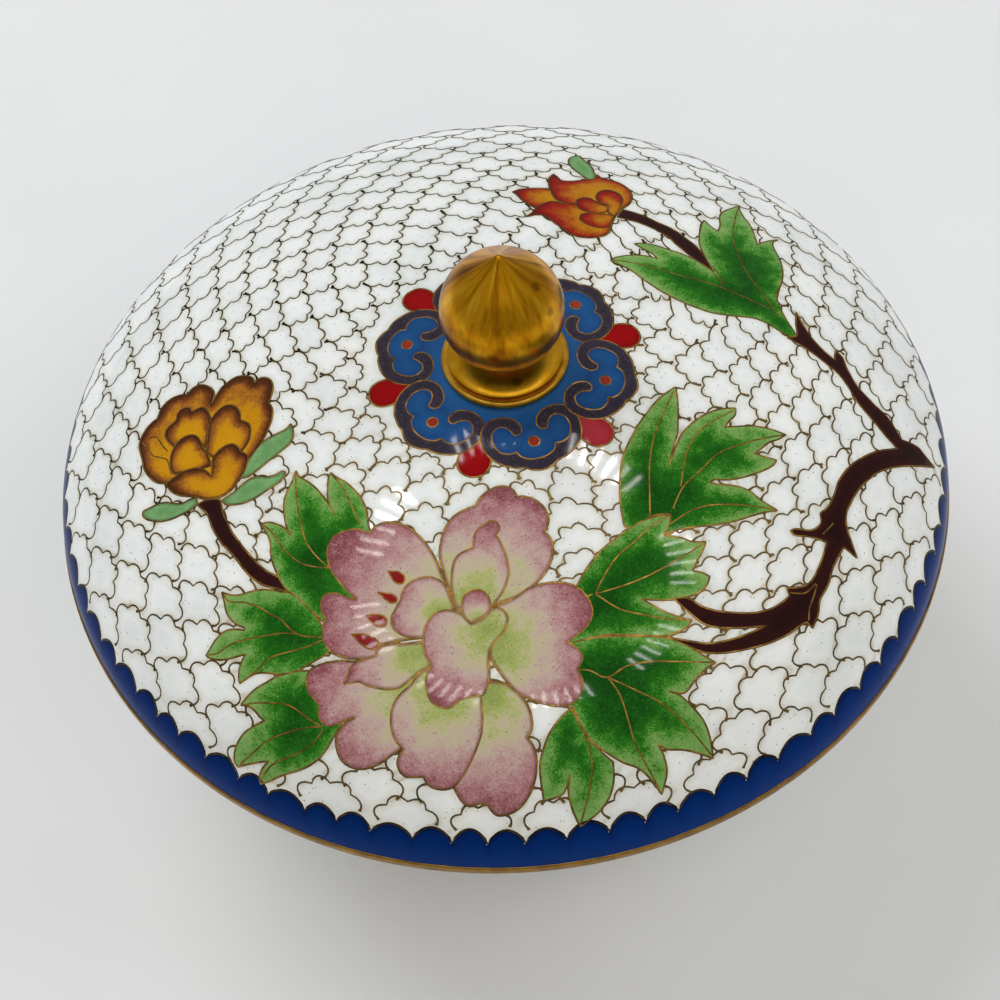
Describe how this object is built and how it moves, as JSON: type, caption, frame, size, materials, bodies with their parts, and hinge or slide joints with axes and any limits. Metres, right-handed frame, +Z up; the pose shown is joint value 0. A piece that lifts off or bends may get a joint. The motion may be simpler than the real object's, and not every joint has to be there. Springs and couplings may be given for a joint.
{
  "type": "lidded bowl",
  "caption": "Round enamelled bowl on a foot ring with a domed lift-off lid, wire-outlined flower decoration and a turned brass ball knob.",
  "frame": {"origin": "centre of the foot ring's underside, where the bowl stands", "axes": "+Z up along the bowl's axis towards the knob, -Y towards the flower on the lid"},
  "size_m": [0.16, 0.16, 0.1109],
  "materials": {
    "bowl_enamel": "glossy vitreous enamel over copper, white ground with brass wires",
    "bowl_rim_brass": "aged, semi-polished",
    "foot_brass": "aged, semi-polished",
    "lid_enamel": "glossy vitreous enamel over copper, white ground with a peony branch and brass wires",
    "lid_rim_brass": "aged, semi-polished",
    "plate_brass": "aged, slightly rough",
    "knob_brass": "turned and polished, worn, with a few scratches"
  },
  "bodies": {
    "root": {"bowl": "bowl_enamel", "bowl_rim": "bowl_rim_brass", "foot_ring": "foot_brass", "lid": "lid_enamel", "lid_rim": "lid_rim_brass", "finial_plate": "plate_brass", "finial": "knob_brass"}
  },
  "joints": []
}
